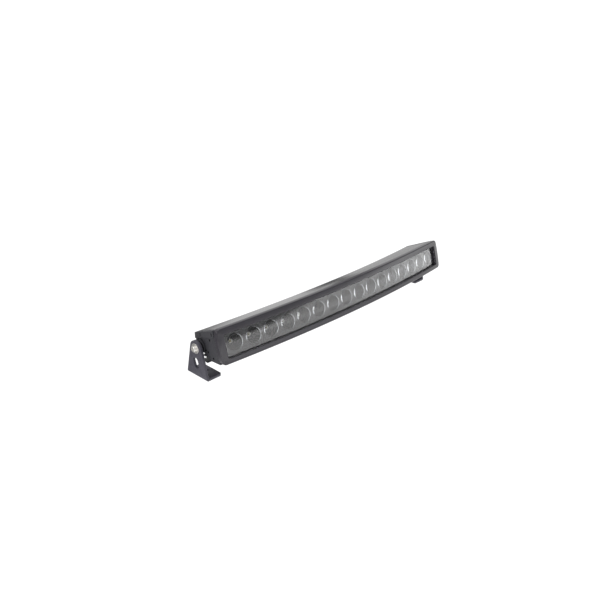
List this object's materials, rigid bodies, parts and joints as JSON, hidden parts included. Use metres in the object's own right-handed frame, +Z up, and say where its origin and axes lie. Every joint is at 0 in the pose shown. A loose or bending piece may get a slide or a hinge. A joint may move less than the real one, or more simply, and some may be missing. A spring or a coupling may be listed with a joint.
{
  "type": "led light bar",
  "caption": "Curved single-row LED driving light bar with a clear front lens, finned housing and tilting end brackets.",
  "frame": {"origin": "midway between the two mounting feet, on the plane of their undersides, straight below the tilt axis", "axes": "+X along the bar, from the left bracket to the right one; the lamp shines towards -Y; +Z up, away from the mounting surface"},
  "size_m": [0.8504, 0.1555, 0.145],
  "materials": {
    "black_anodised": "satin black anodised",
    "black_powder": "matt black powder coat",
    "bracket_powder": "matt black powder coat on steel",
    "gloss_black": "gloss black",
    "clear_polycarbonate": "clear, glossy",
    "holder_black": "satin black",
    "reflector_metallised": "vacuum metallised, mirror",
    "led_ceramic": "white ceramic with a yellow phosphor dome",
    "board_white": "white solder mask on an aluminium core",
    "board_green": "green solder mask",
    "silicone": "matt",
    "gland_nylon": "satin moulded nylon",
    "black_screw": "black oxide",
    "stainless": "satin stainless",
    "spacer_rubber": "matt"
  },
  "bodies": {
    "mounting_brackets": {"left_bracket": "bracket_powder", "right_bracket": "bracket_powder"},
    "lamp": {"board_screws": "stainless", "breather_vent": "gland_nylon", "cable_gland": "gland_nylon", "driver_board": "board_green", "front_bezel": "gloss_black", "gland_nut": "gland_nylon", "gland_seal": "silicone", "heat_sink": "black_anodised", "led_01": "led_ceramic", "led_02": "led_ceramic", "led_03": "led_ceramic", "led_04": "led_ceramic", "led_05": "led_ceramic", "led_06": "led_ceramic", "led_07": "led_ceramic", "led_08": "led_ceramic", "led_09": "led_ceramic", "led_10": "led_ceramic", "led_11": "led_ceramic", "led_12": "led_ceramic", "led_13": "led_ceramic", "led_14": "led_ceramic", "led_15": "led_ceramic", "led_16": "led_ceramic", "led_board": "board_white", "left_end_cap": "black_powder", "left_end_cap_screws": "black_screw", "left_end_gasket": "silicone", "left_pivot_bolt": "stainless", "left_spacer": "spacer_rubber", "left_spring_washer": "stainless", "left_washer": "stainless", "lens_gasket": "silicone", "optic_01": "reflector_metallised", "optic_02": "reflector_metallised", "optic_03": "reflector_metallised", "optic_04": "reflector_metallised", "optic_05": "reflector_metallised", "optic_06": "reflector_metallised", "optic_07": "reflector_metallised", "optic_08": "reflector_metallised", "optic_09": "reflector_metallised", "optic_10": "reflector_metallised", "optic_11": "reflector_metallised", "optic_12": "reflector_metallised", "optic_13": "reflector_metallised", "optic_14": "reflector_metallised", "optic_15": "reflector_metallised", "optic_16": "reflector_metallised", "optic_holder": "holder_black", "outer_lens": "clear_polycarbonate", "right_end_cap": "black_powder", "right_end_cap_screws": "black_screw", "right_end_gasket": "silicone", "right_pivot_bolt": "stainless", "right_spacer": "spacer_rubber", "right_spring_washer": "stainless", "right_washer": "stainless"}
  },
  "joints": [
    {"name": "lamp_tilt", "type": "hinge", "parent": "mounting_brackets", "child": "lamp", "pos_m": [0, 0, 0.0716], "axis": [1, 0, 0], "range_deg": [-60, 30]}
  ]
}
